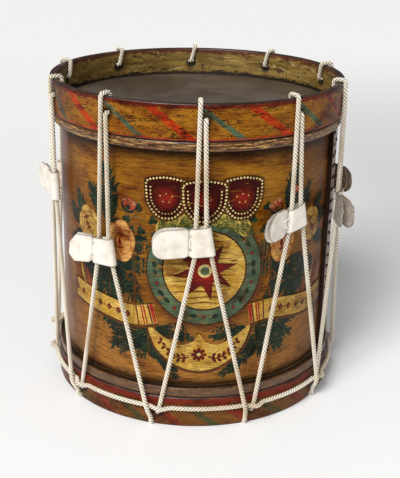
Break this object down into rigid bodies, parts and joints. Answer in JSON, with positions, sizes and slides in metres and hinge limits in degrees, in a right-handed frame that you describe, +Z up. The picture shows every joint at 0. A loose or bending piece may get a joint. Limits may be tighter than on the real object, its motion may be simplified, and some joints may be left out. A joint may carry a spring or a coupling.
{
  "type": "field drum",
  "caption": "Rope-tensioned side drum: bent wood shell, painted hoops, two skins, sliding leather tugs on a zigzag rope, gut snares.",
  "frame": {"origin": "on the drum's axis, in the flat bottom face of the lower counterhoop", "axes": "+Z up along the drum's axis, -Y towards the front of the drum, +X to its right"},
  "size_m": [0.4674, 0.4462, 0.4648],
  "materials": {
    "varnished_shell": "amber varnish over painted ornament, worn",
    "painted_hoop": "painted ochre with slanting stripes, varnished, worn",
    "bare_wood": "bare bent wood",
    "batter_skin": "dark aged skin, satin",
    "snare_skin": "pale aged skin, satin",
    "rope": "laid natural-fibre rope",
    "white_leather": "soft white leather, matt",
    "gut": "twisted gut, translucent satin",
    "brass": "aged brass"
  },
  "bodies": {
    "drum": {"shell": "varnished_shell", "vent_eyelet": "brass", "top_glue_ring": "bare_wood", "bottom_glue_ring": "bare_wood", "batter_head": "batter_skin", "snare_head": "snare_skin", "top_flesh_hoop": "bare_wood", "bottom_flesh_hoop": "bare_wood", "top_counterhoop": "painted_hoop", "bottom_counterhoop": "painted_hoop", "tension_rope": "rope", "gut_snares": "gut", "snare_tab": "white_leather", "snare_butt_tab": "white_leather", "strainer_plate": "brass"},
    "tug_1": {"tug_1": "white_leather", "tug_lace_1": "white_leather"},
    "tug_2": {"tug_2": "white_leather", "tug_lace_2": "white_leather"},
    "tug_3": {"tug_3": "white_leather", "tug_lace_3": "white_leather"},
    "tug_4": {"tug_4": "white_leather", "tug_lace_4": "white_leather"},
    "tug_5": {"tug_5": "white_leather", "tug_lace_5": "white_leather"},
    "tug_6": {"tug_6": "white_leather", "tug_lace_6": "white_leather"},
    "tug_7": {"tug_7": "white_leather", "tug_lace_7": "white_leather"},
    "tug_8": {"tug_8": "white_leather", "tug_lace_8": "white_leather"},
    "tug_9": {"tug_9": "white_leather", "tug_lace_9": "white_leather"},
    "tug_10": {"tug_10": "white_leather", "tug_lace_10": "white_leather"},
    "thumb_nut": {"thumb_nut": "brass"},
    "snare_hook": {"snare_hook": "brass"}
  },
  "joints": [
    {"name": "tug_1_slide", "type": "slide", "parent": "drum", "child": "tug_1", "axis": [0, 0, 1], "range_m": [0, 0.055]},
    {"name": "tug_2_slide", "type": "slide", "parent": "drum", "child": "tug_2", "axis": [0, 0, 1], "range_m": [0, 0.055]},
    {"name": "tug_3_slide", "type": "slide", "parent": "drum", "child": "tug_3", "axis": [0, 0, 1], "range_m": [0, 0.055]},
    {"name": "tug_4_slide", "type": "slide", "parent": "drum", "child": "tug_4", "axis": [0, 0, 1], "range_m": [0, 0.055]},
    {"name": "tug_5_slide", "type": "slide", "parent": "drum", "child": "tug_5", "axis": [0, 0, 1], "range_m": [0, 0.055]},
    {"name": "tug_6_slide", "type": "slide", "parent": "drum", "child": "tug_6", "axis": [0, 0, 1], "range_m": [0, 0.055]},
    {"name": "tug_7_slide", "type": "slide", "parent": "drum", "child": "tug_7", "axis": [0, 0, 1], "range_m": [0, 0.055]},
    {"name": "tug_8_slide", "type": "slide", "parent": "drum", "child": "tug_8", "axis": [0, 0, 1], "range_m": [0, 0.055]},
    {"name": "tug_9_slide", "type": "slide", "parent": "drum", "child": "tug_9", "axis": [0, 0, 1], "range_m": [0, 0.055]},
    {"name": "tug_10_slide", "type": "slide", "parent": "drum", "child": "tug_10", "axis": [0, 0, 1], "range_m": [0, 0.055]},
    {"name": "thumb_nut_turn", "type": "hinge", "parent": "drum", "child": "thumb_nut", "pos_m": [-0.20969, 0.05345, 0.014], "axis": [-0.969, 0.247, 0], "range_deg": [0, 1080]},
    {"name": "snare_hook_slide", "type": "slide", "parent": "drum", "child": "snare_hook", "axis": [0.969, -0.247, 0], "range_m": [0, 0.003]}
  ],
  "couplings": [
    {"joint": "snare_hook_slide", "follows": "thumb_nut_turn", "m_per_rad": 0.000159}
  ]
}
